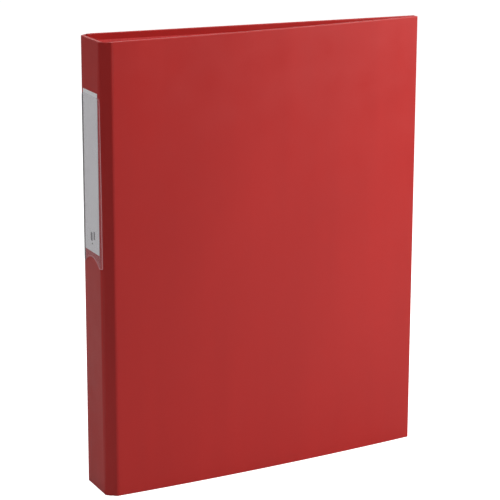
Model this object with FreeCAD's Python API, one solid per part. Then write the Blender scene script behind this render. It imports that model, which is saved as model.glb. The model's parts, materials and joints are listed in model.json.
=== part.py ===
"""Slim lever arch file for A4 paper, closed and standing upright.

Row frame, in millimetres: +Z up, +X from the spine towards the fore edge, -Y out of the front cover.
The back cover lies square to Y. The spine leans a little, because the closed file is a wedge:
wide at its shoulders, and with both covers almost touching at the fore edge.

Two helper frames are used:
- plan (u, v): u runs along the back cover from its crease to the fore edge, and v runs from the back
  cover's crease line towards the front. The case's outline is drawn in it.
- mechanism (u, h, w): the same u, h above the back cover's lining, and w along the file's height from
  the mechanism's middle.

Each panel of the case is drawn along its neutral line, which runs through the crease axes, in the middle
of the flexible sheet that joins the panels.
"""

import FreeCAD
import Part
import math
import os

# ---- driving dimensions of the case
HEIGHT = 315.0
SPINE_WIDTH = 31.8            # between the spine's two creases
HINGE_WIDTH = 8.4             # each soft strip between the spine and a cover
COVER_WIDTH = 241.5           # from a cover's crease to its fore edge
SPINE_FOLD = 52.2             # how far a closed hinge strip turns from the spine's plane, in degrees
FORE_EDGE_THICKNESS = 5.5     # over both covers at the fore edge
FRONT_BOW = 3.5               # the front cover's board bows outwards by this much

WRAP = 0.25                   # outer covering sheet
BOARD = 2.0                   # greyboard
LINING = 0.15                 # inner paper
TURN_IN = 15.0                # how far the covering is turned over onto the inside
LINING_INSET = 4.5            # the lining stops this far from the board's edges
SHEET_RADIUS = 0.25           # half the thickness of a hinge strip
CREASE_GAP = 0.35             # from a crease axis to the end of the panel beside it
FLOOR_GAP = 0.3               # the hinge strips stand this far clear of the floor

# ---- label and its pocket, on the spine
LABEL_WIDTH = 25.0
LABEL_HEIGHT = 110.0
LABEL_BOTTOM = 170.0
LABEL_THICKNESS = 0.25
FILM = 0.2
FILM_WIDTH = 30.8
FILM_BOTTOM = 160.5
FILM_TOP = 277.5
FILM_GAP = 0.45               # room for the card behind the film
WELD_WIDTH = 1.6
FILM_CORNER = 3.0
NOTCH_WIDTH = 25.6
NOTCH_HEIGHT = 6.0
CARD_CLEARANCE = 0.1

# ---- mechanism
POST_U = 40.0                 # fixed posts, from the back cover's crease
POST_PITCH = 80.0             # standard spacing of two punched holes
POST_RADIUS = 2.0
POST_BORE = 1.3
POST_BORE_DEPTH = 4.0
POST_TOP = 17.0
TIP_GAP = 0.1                 # between a post's rim and the arch's shoulder
STUB_GAP = 0.05               # the post's stub ends this far above the lining
ARCH_RADIUS = 13.0
WIRE_RADIUS = 1.75
AXLE_U = POST_U - 2 * ARCH_RADIUS
AXLE_H = 2.85
ARCH_SPRING_LINE = 18.0       # where the arch's straight leg ends and its bow begins
FOOT_BEND = 4.0
CRANK_ARM = 9.0
CRANK_HALF = 4.5              # half the distance between the crank's two arms
CRANK_BEND = 2.5
CRANK_W = -16.5
TIP_LENGTH = 1.6
TIP_RADIUS = 1.15
TIP_END_RADIUS = 0.3

PLATE = 1.0
PLATE_U = (6.0, 47.0)
PLATE_HALF_LENGTH = 62.0
PLATE_CORNER = 5.0
RUNNING = 0.1                 # radial clearance of the axle in its straps
STRAP_WALL = 1.0
STRAPS = ((-35.0, -30.0), (10.0, 15.0), (30.0, 35.0))
SPRING_WINDOW = (10.9, 22.0, -14.0, -3.6)     # opening in the base plate: u from, u to, w from, w to

LEVER_PIN_RADIUS = 1.25
LEVER_PIN_W = -26.0
LEVER_PIN_H = 7.85
LEVER_U = (18.0, 28.0)
LEVER_SHEET = 1.0
LEVER_BOTTOM = 5.2
LEVER_TOP = 12.2
LEVER_TAPER_W = 8.0           # its side walls narrow from here
LEVER_NOSE_W = 30.0
LEVER_END_W = 36.0
LEVER_TAB_TOP = 17.0
LEVER_HEEL_RADIUS = 2.8
PIN_CLEARANCE = 0.07
EAR_GAP = 0.4
EAR_SHEET = 1.2
EAR_HALF = 2.9
ROLLER_RADIUS = 3.2
ROLLER_PIN_RADIUS = 1.0
ROLLER_GAP = 0.25             # each side of the roller, inside the lever
PIN_HEAD = 0.7
PIN_HEAD_RADIUS = 2.0

SPRING_WIRE = 0.4
SPRING_RADIUS = 2.35          # to the middle of its wire
SPRING_TURNS = 5
SPRING_PITCH = 0.9
SPRING_FROM_W = -9.3
SPRING_LEG = 7.0
SPRING_HOOK = 3.6

RIVETS = ((11.0, -54.0), (11.0, 54.0), (42.0, -54.0), (42.0, 54.0))
RIVET_RADIUS = 2.0
RIVET_HEAD_RADIUS = 4.5
RIVET_HEAD = 0.9
CLINCH_RADIUS = 3.3
CLINCH = 0.8
CLINCH_HOLE_RADIUS = 1.2
CLINCH_HOLE_DEPTH = 1.2

BAR_U = (34.0, 46.0)
BAR_HALF_LENGTH = 51.0
BAR_SHEET = 0.9
BAR_REST_H = 2.1
BAR_FLANGE = 2.2
BAR_SLOT_HALF = 1.5           # half the straight length of each slot
BAR_SLOT_RADIUS = 2.3
BAR_END_RADIUS = 4.0
CLIP_HALF = (4.6, 5.5)        # half length across and along the bar
CLIP_HEIGHT = 3.4
CLIP_CORNER = 1.5
CLIP_CLEARANCE = 0.12
FOOT_RADIUS = 3.6
FOOT_THICKNESS = 0.8

# ---- worked out from the above
STRIP_SLOPE = math.radians(90.0 - SPINE_FOLD)
SHOULDER = SPINE_WIDTH / 2 + HINGE_WIDTH * math.sin(STRIP_SLOPE)
WEDGE = math.asin((SHOULDER - (FORE_EDGE_THICKNESS / 2 - SHEET_RADIUS)) / COVER_WIDTH)
POST_W = (-POST_PITCH / 2, POST_PITCH / 2)
INSIDE = BOARD + WRAP + LINING          # depth of the lining's face below the neutral line
MIDDLE = HEIGHT / 2


def turned(x, across):
    """A point of the upright wedge, x from its spine and across from its mid-plane, in the plan frame."""
    dx = x - HINGE_WIDTH * math.cos(STRIP_SLOPE)
    dv = across + SHOULDER
    return (dx * math.cos(WEDGE) + dv * math.sin(WEDGE), dv * math.cos(WEDGE) - dx * math.sin(WEDGE))


# crease axes and fore edges, in the plan frame
BACK_SHOULDER = turned(HINGE_WIDTH * math.cos(STRIP_SLOPE), -SHOULDER)
BACK_SPINE = turned(0.0, -SPINE_WIDTH / 2)
FRONT_SPINE = turned(0.0, SPINE_WIDTH / 2)
FRONT_SHOULDER = turned(HINGE_WIDTH * math.cos(STRIP_SLOPE), SHOULDER)
FORE_X = HINGE_WIDTH * math.cos(STRIP_SLOPE) + COVER_WIDTH * math.cos(WEDGE)
FRONT_FORE = turned(FORE_X, FORE_EDGE_THICKNESS / 2 - SHEET_RADIUS)

def plan(u, v, z):
    """A plan point at height z, in the row frame."""
    return FreeCAD.Vector(u - ORIGIN_U, ORIGIN_V - v, z)


def mech(u, h, w):
    """A mechanism point in the row frame."""
    return plan(u, INSIDE + h, MIDDLE + w)


X_AXIS = FreeCAD.Vector(1, 0, 0)
OUT_OF_BOARD = FreeCAD.Vector(0, -1, 0)      # the mechanism's h direction
UP = FreeCAD.Vector(0, 0, 1)


class Panel:
    """A panel of the case along its neutral line from start to end; depth runs inwards from that line."""

    def __init__(self, start, end, inwards, bow=0.0):
        self.length = math.dist(start, end)
        self.start = start
        self.along = ((end[0] - start[0]) / self.length, (end[1] - start[1]) / self.length)
        self.inwards = (-self.along[1] * inwards, self.along[0] * inwards)
        self.bow = bow
        self.radius = (self.length ** 2 / 4 + bow ** 2) / (2 * bow) if bow else 0.0

    def at(self, s, depth):
        """The plan point s along the panel and depth inside its neutral line."""
        across = depth
        if self.bow:
            half = self.length / 2
            turn = math.asin((s - half) / self.radius)
            s = half + (self.radius - depth) * math.sin(turn)
            across = self.radius - self.bow - (self.radius - depth) * math.cos(turn)
        return (self.start[0] + self.along[0] * s + self.inwards[0] * across,
                self.start[1] + self.along[1] * s + self.inwards[1] * across)

    def slab(self, s0, s1, d0, d1, z0, z1):
        """A solid between two distances along the panel, two depths and two heights."""
        corners = [plan(*self.at(s, d), z0) for s, d in ((s0, d0), (s1, d0), (s1, d1), (s0, d1))]
        if self.bow:
            middles = [plan(*self.at((s0 + s1) / 2, d), z0) for d in (d0, d1)]
            edges = [Part.Arc(corners[0], middles[0], corners[1]).toShape(),
                     Part.LineSegment(corners[1], corners[2]).toShape(),
                     Part.Arc(corners[2], middles[1], corners[3]).toShape(),
                     Part.LineSegment(corners[3], corners[0]).toShape()]
            outline = Part.Wire(edges)
        else:
            outline = Part.makePolygon(corners + corners[:1])
        return Part.Face(outline).extrude(FreeCAD.Vector(0, 0, z1 - z0))


BACK_COVER = Panel(BACK_SHOULDER, turned(FORE_X, SHEET_RADIUS - FORE_EDGE_THICKNESS / 2), 1)
BACK_STRIP = Panel(BACK_SHOULDER, BACK_SPINE, -1)
SPINE = Panel(BACK_SPINE, FRONT_SPINE, -1)
FRONT_STRIP = Panel(FRONT_SPINE, FRONT_SHOULDER, -1)
FRONT_COVER = Panel(FRONT_SHOULDER, FRONT_FORE, -1, FRONT_BOW)

# the plan point that becomes the origin, so that the origin is under the middle of the closed file:
# it spans from the pocket's film to the front fore edge, and from the rivet heads to the front shoulder
U_LOW = SPINE.at((SPINE_WIDTH - FILM_WIDTH) / 2, -SHEET_RADIUS - FILM_GAP - FILM)[0]
U_HIGH = FRONT_COVER.at(FRONT_COVER.length, -SHEET_RADIUS)[0]
V_LOW = -SHEET_RADIUS - RIVET_HEAD
V_HIGH = FRONT_SHOULDER[1] + SHEET_RADIUS
ORIGIN_U = (U_LOW + U_HIGH) / 2
ORIGIN_V = (V_LOW + V_HIGH) / 2


def covered_panel(panel, free_edge):
    """A board, the covering turned over its edges, and the lining. free_edge is False for the spine, which
    has a crease on both sides."""
    s0, s1 = CREASE_GAP, panel.length - (0.0 if free_edge else CREASE_GAP)
    edge = WRAP if free_edge else 0.0
    inset = LINING_INSET if free_edge else 0.0
    turned_over = TURN_IN if free_edge else 0.0
    outer, face, back = -SHEET_RADIUS, WRAP - SHEET_RADIUS, WRAP - SHEET_RADIUS + BOARD
    inner = back + WRAP
    past = 1.0
    board = panel.slab(s0, s1 - edge, face, back, WRAP, HEIGHT - WRAP)
    far = s1 - edge if free_edge else s1 + past
    wrap = panel.slab(s0, s1, outer, inner, 0.0, HEIGHT)
    wrap = wrap.cut(panel.slab(s0 - CREASE_GAP / 2, far, face, back, WRAP, HEIGHT - WRAP))
    window_end = s1 - turned_over if free_edge else s1 + past
    low, high = TURN_IN, HEIGHT - TURN_IN
    wrap = wrap.cut(panel.slab(s0 - CREASE_GAP / 2, window_end, back, inner + past, low, high))
    lining = panel.slab(s0, s1 - inset, inner, inner + LINING, LINING_INSET, HEIGHT - LINING_INSET)
    lining = lining.fuse(panel.slab(s0, s1 - turned_over, back, inner, low, high))
    return {"board": board, "wrap": wrap, "lining": lining.removeSplitter()}


def hinge_strip(panel):
    """The soft strip between two creases. Its long edges are round about the crease axes."""
    z0, z1 = FLOOR_GAP, HEIGHT - FLOOR_GAP
    strip = panel.slab(0.0, panel.length, -SHEET_RADIUS, SHEET_RADIUS, z0, z1)
    for s in (0.0, panel.length):
        strip = strip.fuse(Part.makeCylinder(SHEET_RADIUS, z1 - z0, plan(*panel.at(s, 0.0), z0), UP))
    return strip.removeSplitter()


def rod(start, end, radius):
    return Part.makeCylinder(radius, (end - start).Length, start, end - start)


def upright_rod(u, w, h0, h1, radius):
    """A rod square to the back cover."""
    return rod(mech(u, h0, w), mech(u, h1, w), radius)


def across(u0, u1, w, radius, h=LEVER_PIN_H):
    """A rod along u, by default at the height of the lever's pin."""
    return rod(mech(u0, h, w), mech(u1, h, w), radius)


def block(u0, u1, h0, h1, w0, w1):
    """A box in the mechanism frame."""
    a, b = mech(u0, h0, w0), mech(u1, h1, w1)
    low = FreeCAD.Vector(min(a.x, b.x), min(a.y, b.y), min(a.z, b.z))
    return Part.makeBox(abs(b.x - a.x), abs(b.y - a.y), abs(b.z - a.z), low)


def round_vertical_edges(solid, direction, radius):
    """Fillets the edges of a plate that run along direction."""
    straight = [e for e in solid.Edges if isinstance(e.Curve, Part.Line)]
    chosen = [e for e in straight if e.tangentAt(e.FirstParameter).cross(direction).Length < 1e-6]
    return solid.makeFillet(radius, chosen)


# ---- the label and its pocket

def spine_point(s, out, z):
    """A point on the spine's outside: s from its middle towards the front, out from the covering."""
    return plan(*SPINE.at(SPINE_WIDTH / 2 + s, -SHEET_RADIUS - out), z)


def spine_slab(s0, s1, out0, out1, z0, z1):
    middle = SPINE_WIDTH / 2
    return SPINE.slab(middle + s0, middle + s1, -SHEET_RADIUS - out1, -SHEET_RADIUS - out0, z0, z1)


def label_pocket():
    """A clear film welded down along both sides, open at the top and with a thumb notch at the bottom."""
    half = FILM_WIDTH / 2
    outwards = spine_point(0, 1, 0) - spine_point(0, 0, 0)
    film = spine_slab(-half, half, FILM_GAP, FILM_GAP + FILM, FILM_BOTTOM, FILM_TOP)
    film = round_vertical_edges(film, outwards, FILM_CORNER)
    for side in (-1, 1):
        s = sorted((side * half, side * (half - WELD_WIDTH)))
        weld = spine_slab(s[0], s[1], 0.0, FILM_GAP, FILM_BOTTOM + FILM_CORNER, FILM_TOP - FILM_CORNER)
        film = film.fuse(weld)
    top = FILM_BOTTOM + NOTCH_HEIGHT
    notch = Part.Wire([Part.Arc(spine_point(-NOTCH_WIDTH / 2, -1, FILM_BOTTOM), spine_point(0, -1, top),
                                spine_point(NOTCH_WIDTH / 2, -1, FILM_BOTTOM)).toShape(),
                       Part.makePolygon([spine_point(NOTCH_WIDTH / 2, -1, FILM_BOTTOM),
                                         spine_point(NOTCH_WIDTH / 2, -1, FILM_BOTTOM - 1),
                                         spine_point(-NOTCH_WIDTH / 2, -1, FILM_BOTTOM - 1),
                                         spine_point(-NOTCH_WIDTH / 2, -1, FILM_BOTTOM)])])
    return film.cut(Part.Face(notch).extrude(outwards * 4))


def label_card():
    return spine_slab(-LABEL_WIDTH / 2, LABEL_WIDTH / 2, CARD_CLEARANCE, CARD_CLEARANCE + LABEL_THICKNESS,
                      LABEL_BOTTOM, LABEL_BOTTOM + LABEL_HEIGHT)


# ---- the mechanism

def axle_strap(w0, w1):
    """A strap pressed up over the arches' axle, before its tunnel is cut."""
    outer = WIRE_RADIUS + RUNNING + STRAP_WALL
    strap = block(AXLE_U - outer, AXLE_U + outer, PLATE / 2, AXLE_H, w0, w1)
    return strap.fuse(rod(mech(AXLE_U, AXLE_H, w0), mech(AXLE_U, AXLE_H, w1), outer))


def axle_tunnel(w0, w1):
    inner = WIRE_RADIUS + RUNNING
    tunnel = rod(mech(AXLE_U, AXLE_H, w0 - 1), mech(AXLE_U, AXLE_H, w1 + 1), inner)
    return tunnel.fuse(block(AXLE_U - inner, AXLE_U + inner, PLATE, AXLE_H, w0 - 1, w1 + 1))


def lever_ear(u0):
    """An upright ear with a round top, drilled for the lever's pin."""
    w0, w1 = LEVER_PIN_W - EAR_HALF, LEVER_PIN_W + EAR_HALF
    ear = block(u0, u0 + EAR_SHEET, PLATE / 2, LEVER_PIN_H, w0, w1)
    return ear.fuse(across(u0, u0 + EAR_SHEET, LEVER_PIN_W, EAR_HALF))


def base_plate():
    plate = block(PLATE_U[0], PLATE_U[1], 0, PLATE, -PLATE_HALF_LENGTH, PLATE_HALF_LENGTH)
    plate = round_vertical_edges(plate, OUT_OF_BOARD, PLATE_CORNER)
    straps = [axle_strap(*s) for s in STRAPS]
    ears = [lever_ear(LEVER_U[0] - EAR_GAP - EAR_SHEET), lever_ear(LEVER_U[1] + EAR_GAP)]
    plate = plate.fuse(straps + ears)
    u0, u1, w0, w1 = SPRING_WINDOW
    cuts = [axle_tunnel(*s) for s in STRAPS]
    cuts.append(across(0, PLATE_U[1], LEVER_PIN_W, LEVER_PIN_RADIUS))
    cuts.append(block(u0, u1, -1, PLATE + 0.5, w0, w1))
    cuts += [upright_rod(u, w, -1, PLATE + 1, RIVET_RADIUS) for u, w in RIVETS]
    cuts += [upright_rod(POST_U, w, -1, PLATE + 1, POST_RADIUS) for w in POST_W]
    return plate.cut(cuts).removeSplitter()


def fixed_post(w):
    """A hollow post with a foot, its stub riveted through the base plate."""
    post = upright_rod(POST_U, w, STUB_GAP, POST_TOP, POST_RADIUS)
    post = post.fuse(upright_rod(POST_U, w, PLATE, PLATE + FOOT_THICKNESS, FOOT_RADIUS))
    post = post.cut(upright_rod(POST_U, w, POST_TOP - POST_BORE_DEPTH, POST_TOP + 1, POST_BORE))
    return post.removeSplitter()


def line(a, b):
    return Part.LineSegment(a, b).toShape()


def arc(a, b, c):
    return Part.Arc(a, b, c).toShape()


def arch_path():
    """The arches' centre line: one wire, from the tip over the upper post to the tip over the lower one."""
    half = POST_PITCH / 2
    k = math.sqrt(0.5)
    middle_u = AXLE_U + ARCH_RADIUS
    crank_u = AXLE_U + CRANK_ARM

    def upright(side):
        """From the tip over a post round the bow, down the leg and round the foot on to the axle."""
        w = side * half
        foot_w = side * (half - FOOT_BEND)
        return [line(mech(POST_U, POST_TOP + TIP_GAP, w), mech(POST_U, ARCH_SPRING_LINE, w)),
                arc(mech(POST_U, ARCH_SPRING_LINE, w), mech(middle_u, ARCH_SPRING_LINE + ARCH_RADIUS, w),
                    mech(AXLE_U, ARCH_SPRING_LINE, w)),
                line(mech(AXLE_U, ARCH_SPRING_LINE, w), mech(AXLE_U, AXLE_H + FOOT_BEND, w)),
                arc(mech(AXLE_U, AXLE_H + FOOT_BEND, w),
                    mech(AXLE_U, AXLE_H + FOOT_BEND * (1 - k), side * (half - FOOT_BEND * (1 - k))),
                    mech(AXLE_U, AXLE_H, foot_w))]

    def crank(side):
        """From the axle out along a crank arm to the crank's middle stretch."""
        arm_w = CRANK_W + side * CRANK_HALF
        out_w = arm_w + side * CRANK_BEND
        in_w = arm_w - side * CRANK_BEND
        b = CRANK_BEND
        return [arc(mech(AXLE_U, AXLE_H, out_w),
                    mech(AXLE_U + b * (1 - k), AXLE_H, arm_w + side * b * (1 - k)),
                    mech(AXLE_U + b, AXLE_H, arm_w)),
                line(mech(AXLE_U + b, AXLE_H, arm_w), mech(crank_u - b, AXLE_H, arm_w)),
                arc(mech(crank_u - b, AXLE_H, arm_w),
                    mech(crank_u - b * (1 - k), AXLE_H, arm_w - side * b * (1 - k)),
                    mech(crank_u, AXLE_H, in_w))]

    top_out = CRANK_W + CRANK_HALF + CRANK_BEND
    low_out = CRANK_W - CRANK_HALF - CRANK_BEND
    inner = CRANK_HALF - CRANK_BEND
    edges = upright(1)
    edges.append(line(mech(AXLE_U, AXLE_H, half - FOOT_BEND), mech(AXLE_U, AXLE_H, top_out)))
    edges += crank(1)
    edges.append(line(mech(crank_u, AXLE_H, CRANK_W + inner), mech(crank_u, AXLE_H, CRANK_W - inner)))
    edges += crank(-1)[::-1]
    edges.append(line(mech(AXLE_U, AXLE_H, low_out), mech(AXLE_U, AXLE_H, FOOT_BEND - half)))
    edges += upright(-1)[::-1]
    return Part.Wire(edges)


def arch_wire():
    """The bent wire, with a cone at each end that enters the post's bore."""
    start = mech(POST_U, POST_TOP + TIP_GAP, POST_W[1])
    profile = Part.Wire(Part.makeCircle(WIRE_RADIUS, start, OUT_OF_BOARD))
    wire = arch_path().makePipeShell([profile], True, False)
    for w in POST_W:
        base = mech(POST_U, POST_TOP + TIP_GAP, w)
        wire = wire.fuse(Part.makeCone(TIP_RADIUS, TIP_END_RADIUS, TIP_LENGTH, base, -OUT_OF_BOARD))
    return wire.removeSplitter()


def arch_spring():
    """A torsion spring coiled round the axle. One leg bears on the base plate, the other lifts the crank."""
    turns_length = SPRING_TURNS * SPRING_PITCH
    helix = Part.makeHelix(SPRING_PITCH, turns_length, SPRING_RADIUS)
    start = FreeCAD.Vector(SPRING_RADIUS, 0, 0)
    section = Part.Wire(Part.makeCircle(SPRING_WIRE, start, FreeCAD.Vector(0, 1, 0)))
    coil = Part.Wire(helix.Edges).makePipeShell([section], True, True)
    # the helix starts on +X; a quarter turn brings its ends under the axle, pointing along u
    coil.rotate(FreeCAD.Vector(0, 0, 0), UP, 90)
    coil.translate(mech(AXLE_U, AXLE_H, SPRING_FROM_W))
    low_h = AXLE_H - SPRING_RADIUS
    knee = mech(AXLE_U + SPRING_LEG, low_h, SPRING_FROM_W)
    leg = rod(mech(AXLE_U, low_h, SPRING_FROM_W), knee, SPRING_WIRE)
    hook = rod(knee, knee - UP * SPRING_HOOK, SPRING_WIRE)
    bend = Part.makeSphere(SPRING_WIRE, knee)
    rest_w = SPRING_FROM_W + turns_length
    rest = rod(mech(AXLE_U, low_h, rest_w), mech(AXLE_U - SPRING_RADIUS, low_h, rest_w), SPRING_WIRE)
    return coil.fuse([leg, hook, bend, rest])


def lever():
    """A pressed channel, open below, with a finger tab turned up at its free end."""
    u0, u1 = LEVER_U
    body = block(u0, u1, LEVER_BOTTOM, LEVER_TOP, LEVER_PIN_W, LEVER_NOSE_W)
    body = body.fuse(across(u0, u1, LEVER_PIN_W, LEVER_HEEL_RADIUS))
    body = body.cut(block(u0 + LEVER_SHEET, u1 - LEVER_SHEET, 0, LEVER_TOP - LEVER_SHEET,
                          LEVER_PIN_W - LEVER_TOP, LEVER_NOSE_W + LEVER_TOP))
    # the side walls run down to nothing towards the finger tab
    low, under, past = LEVER_BOTTOM - 1, LEVER_TOP - LEVER_SHEET, LEVER_END_W + 1
    side = ((low, LEVER_TAPER_W), (low, past), (under, past), (under, LEVER_NOSE_W - 1))
    taper = [mech(u0, h, w) for h, w in side]
    body = body.cut(Part.Face(Part.makePolygon(taper + taper[:1])).extrude(X_AXIS * (u1 - u0)))
    # the tab: the top sheet bends up through a quarter round
    bend = LEVER_END_W - LEVER_NOSE_W - LEVER_SHEET
    centre_h = LEVER_TOP + bend
    ring = across(u0, u1, LEVER_NOSE_W, bend + LEVER_SHEET, centre_h)
    ring = ring.cut(across(u0 - 1, u1 + 1, LEVER_NOSE_W, bend, centre_h))
    ring = ring.common(block(u0, u1, LEVER_TOP - LEVER_SHEET, centre_h, LEVER_NOSE_W, LEVER_END_W))
    tab = ring.fuse(block(u0, u1, centre_h, LEVER_TAB_TOP, LEVER_END_W - LEVER_SHEET, LEVER_END_W))
    body = body.fuse(tab)
    holes = [across(u0 - 1, u1 + 1, LEVER_PIN_W, LEVER_PIN_RADIUS + PIN_CLEARANCE),
             across(u0 - 1, u1 + 1, CRANK_W, ROLLER_PIN_RADIUS)]
    return body.cut(holes).removeSplitter()


def lever_pin():
    """Riveted over outside the base plate's ears."""
    u0, u1 = LEVER_U[0] - EAR_GAP - EAR_SHEET, LEVER_U[1] + EAR_GAP + EAR_SHEET
    shank = across(u0 - PIN_HEAD, u1 + PIN_HEAD, LEVER_PIN_W, LEVER_PIN_RADIUS)
    heads = [across(u0 - PIN_HEAD, u0, LEVER_PIN_W, PIN_HEAD_RADIUS),
             across(u1, u1 + PIN_HEAD, LEVER_PIN_W, PIN_HEAD_RADIUS)]
    return shank.fuse(heads).removeSplitter()


def roller_pin():
    """Flush with the lever's sides."""
    return across(LEVER_U[0], LEVER_U[1], CRANK_W, ROLLER_PIN_RADIUS)


def roller():
    inset = LEVER_SHEET + ROLLER_GAP
    body = across(LEVER_U[0] + inset, LEVER_U[1] - inset, CRANK_W, ROLLER_RADIUS)
    return body.cut(across(LEVER_U[0], LEVER_U[1], CRANK_W, ROLLER_PIN_RADIUS + PIN_CLEARANCE))


def rivet(u, w):
    """A rivet with a low dome outside the back cover and a rolled clinch on the base plate."""
    outside = -INSIDE - SHEET_RADIUS
    top = PLATE + CLINCH
    shank = upright_rod(u, w, outside, top, RIVET_RADIUS)
    dome_radius = (RIVET_HEAD_RADIUS ** 2 + RIVET_HEAD ** 2) / (2 * RIVET_HEAD)
    dome = Part.makeSphere(dome_radius, mech(u, outside - RIVET_HEAD + dome_radius, w))
    dome = dome.common(upright_rod(u, w, outside - RIVET_HEAD - 1, outside, RIVET_HEAD_RADIUS))
    foot = mech(u, PLATE, w)
    clinch = Part.makeCone(CLINCH_RADIUS, CLINCH_RADIUS - CLINCH / 2, CLINCH, foot, OUT_OF_BOARD)
    body = shank.fuse([dome, clinch]).removeSplitter()
    return body.cut(upright_rod(u, w, top - CLINCH_HOLE_DEPTH, top + 1, CLINCH_HOLE_RADIUS))


def rivet_holes():
    return [upright_rod(u, w, -INSIDE - 1, 1, RIVET_RADIUS) for u, w in RIVETS]


def compressor_bar():
    """A pressed bar with upturned edges and a slot round each fixed post."""
    u0, u1 = BAR_U
    h0 = BAR_REST_H
    floor = h0 + BAR_SHEET
    bar = block(u0, u1, h0, floor + BAR_FLANGE, -BAR_HALF_LENGTH, BAR_HALF_LENGTH)
    bar = round_vertical_edges(bar, OUT_OF_BOARD, BAR_END_RADIUS)
    half = BAR_HALF_LENGTH - BAR_SHEET
    tray = block(u0 + BAR_SHEET, u1 - BAR_SHEET, floor, floor + BAR_FLANGE + 1, -half, half)
    tray = round_vertical_edges(tray, OUT_OF_BOARD, BAR_END_RADIUS - BAR_SHEET)
    bar = bar.cut(tray)
    for w in POST_W:
        ends = (w - BAR_SLOT_HALF, w + BAR_SLOT_HALF)
        slot = block(POST_U - BAR_SLOT_RADIUS, POST_U + BAR_SLOT_RADIUS, h0 - 1, floor + 1, *ends)
        round_ends = [upright_rod(POST_U, end, h0 - 1, floor + 1, BAR_SLOT_RADIUS) for end in ends]
        bar = bar.cut([slot] + round_ends)
    return bar.removeSplitter()


def compressor_clip(w):
    """A moulded clip that grips a fixed post and holds the bar at its height."""
    h0 = BAR_REST_H + BAR_SHEET
    du, dw = CLIP_HALF
    clip = block(POST_U - du, POST_U + du, h0, h0 + CLIP_HEIGHT, w - dw, w + dw)
    clip = round_vertical_edges(clip, OUT_OF_BOARD, CLIP_CORNER)
    return clip.cut(upright_rod(POST_U, w, h0 - 1, h0 + CLIP_HEIGHT + 1, POST_RADIUS + CLIP_CLEARANCE))


def nodes():
    """Every sub-part of the file, by name."""
    made = {}
    for name, panel in (("front", FRONT_COVER), ("spine", SPINE), ("back", BACK_COVER)):
        for piece, shape in covered_panel(panel, free_edge=name != "spine").items():
            made[f"{name}_{piece}"] = shape.cut(rivet_holes()) if name == "back" else shape
    made["front_hinge_strip"] = hinge_strip(FRONT_STRIP)
    made["back_hinge_strip"] = hinge_strip(BACK_STRIP)
    made["label_pocket"] = label_pocket()
    made["label_card"] = label_card()
    made["base_plate"] = base_plate()
    made["lower_fixed_post"], made["upper_fixed_post"] = [fixed_post(w) for w in POST_W]
    made["arch_wire"] = arch_wire()
    made["arch_spring"] = arch_spring()
    made["lever"] = lever()
    made["lever_pin"] = lever_pin()
    made["roller"] = roller()
    made["roller_pin"] = roller_pin()
    made["rivets"] = Part.makeCompound([rivet(u, w) for u, w in RIVETS])
    made["compressor_bar"] = compressor_bar()
    made["compressor_clips"] = Part.makeCompound([compressor_clip(w) for w in POST_W])
    return made


def main():
    os.makedirs("parts", exist_ok=True)
    for name, shape in nodes().items():
        box = shape.BoundBox
        print(f"{name}: {len(shape.Solids)} solid, valid {shape.isValid()}, {shape.Volume:.1f} mm3, "
              f"z {box.ZMin:.2f} to {box.ZMax:.2f}")
        shape.exportStep(f"parts/{name}.step")


if __name__ == "__main__":
    main()
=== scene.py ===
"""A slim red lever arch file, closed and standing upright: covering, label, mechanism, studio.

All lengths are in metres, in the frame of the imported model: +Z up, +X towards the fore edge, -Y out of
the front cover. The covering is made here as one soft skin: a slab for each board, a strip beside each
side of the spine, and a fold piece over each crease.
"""

import bmesh
import bpy
import json
import math
from mathutils import Matrix, Vector


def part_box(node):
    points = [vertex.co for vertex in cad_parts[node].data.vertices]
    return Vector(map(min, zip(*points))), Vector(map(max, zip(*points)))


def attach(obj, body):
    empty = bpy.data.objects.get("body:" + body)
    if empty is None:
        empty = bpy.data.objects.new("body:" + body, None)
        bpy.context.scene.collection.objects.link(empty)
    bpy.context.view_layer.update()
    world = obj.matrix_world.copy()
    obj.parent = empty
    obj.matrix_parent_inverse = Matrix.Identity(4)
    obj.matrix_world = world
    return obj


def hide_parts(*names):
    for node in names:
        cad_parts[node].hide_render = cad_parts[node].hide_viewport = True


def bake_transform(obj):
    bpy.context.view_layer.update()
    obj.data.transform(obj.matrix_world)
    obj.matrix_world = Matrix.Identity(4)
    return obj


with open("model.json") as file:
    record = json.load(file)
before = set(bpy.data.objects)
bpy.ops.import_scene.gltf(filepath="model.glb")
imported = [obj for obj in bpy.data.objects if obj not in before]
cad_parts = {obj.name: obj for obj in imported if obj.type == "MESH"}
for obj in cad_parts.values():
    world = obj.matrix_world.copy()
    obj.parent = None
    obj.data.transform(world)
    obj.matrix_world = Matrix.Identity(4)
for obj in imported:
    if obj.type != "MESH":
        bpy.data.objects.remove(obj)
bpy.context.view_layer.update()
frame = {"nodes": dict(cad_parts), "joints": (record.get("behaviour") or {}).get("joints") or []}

MM = 0.001
SAME_PLACE = 1e-7             # closer than this is the same place

# ---- covering
SKIN = 0.25 * MM              # half the thickness of the folded covering
BOARD_EDGE_RADIUS = 0.55 * MM
BOARD_EDGE_SEGMENTS = 4
BOW_CUTS = 48                 # across the bowed cover
FLAT_CUTS = (3, 5)            # across and up a flat panel
DRAWN_CUTS = (9, 23)          # across the spine's border that gives way, and up the spine
SKIN_SHARP = math.radians(50)     # a sharper edge of the covering than this isn't shaded smooth
CREASE_LAP = 0.45 * MM        # flat stretch on each side of a fold piece
FOLD_FACETS = 10
BOARD_GAP = 0.35 * MM         # from a crease to the end of the board beside it
BOARD_END = 0.32 * MM         # from a crease to the covered end of the board beside it
SHOULDER_RADIUS = 2.2 * MM    # softness of the creases beside the covers
SPINE_RADIUS = 2.0 * MM       # softness of the creases beside the spine
FRONT_BOW = 3.5 * MM
EDGE_DRAWN_IN = 1.1 * MM      # how far the spine's front edge is drawn in at half height
EDGE_SOFTNESS = 3.3 * MM      # width of the spine's front border that gives way
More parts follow.
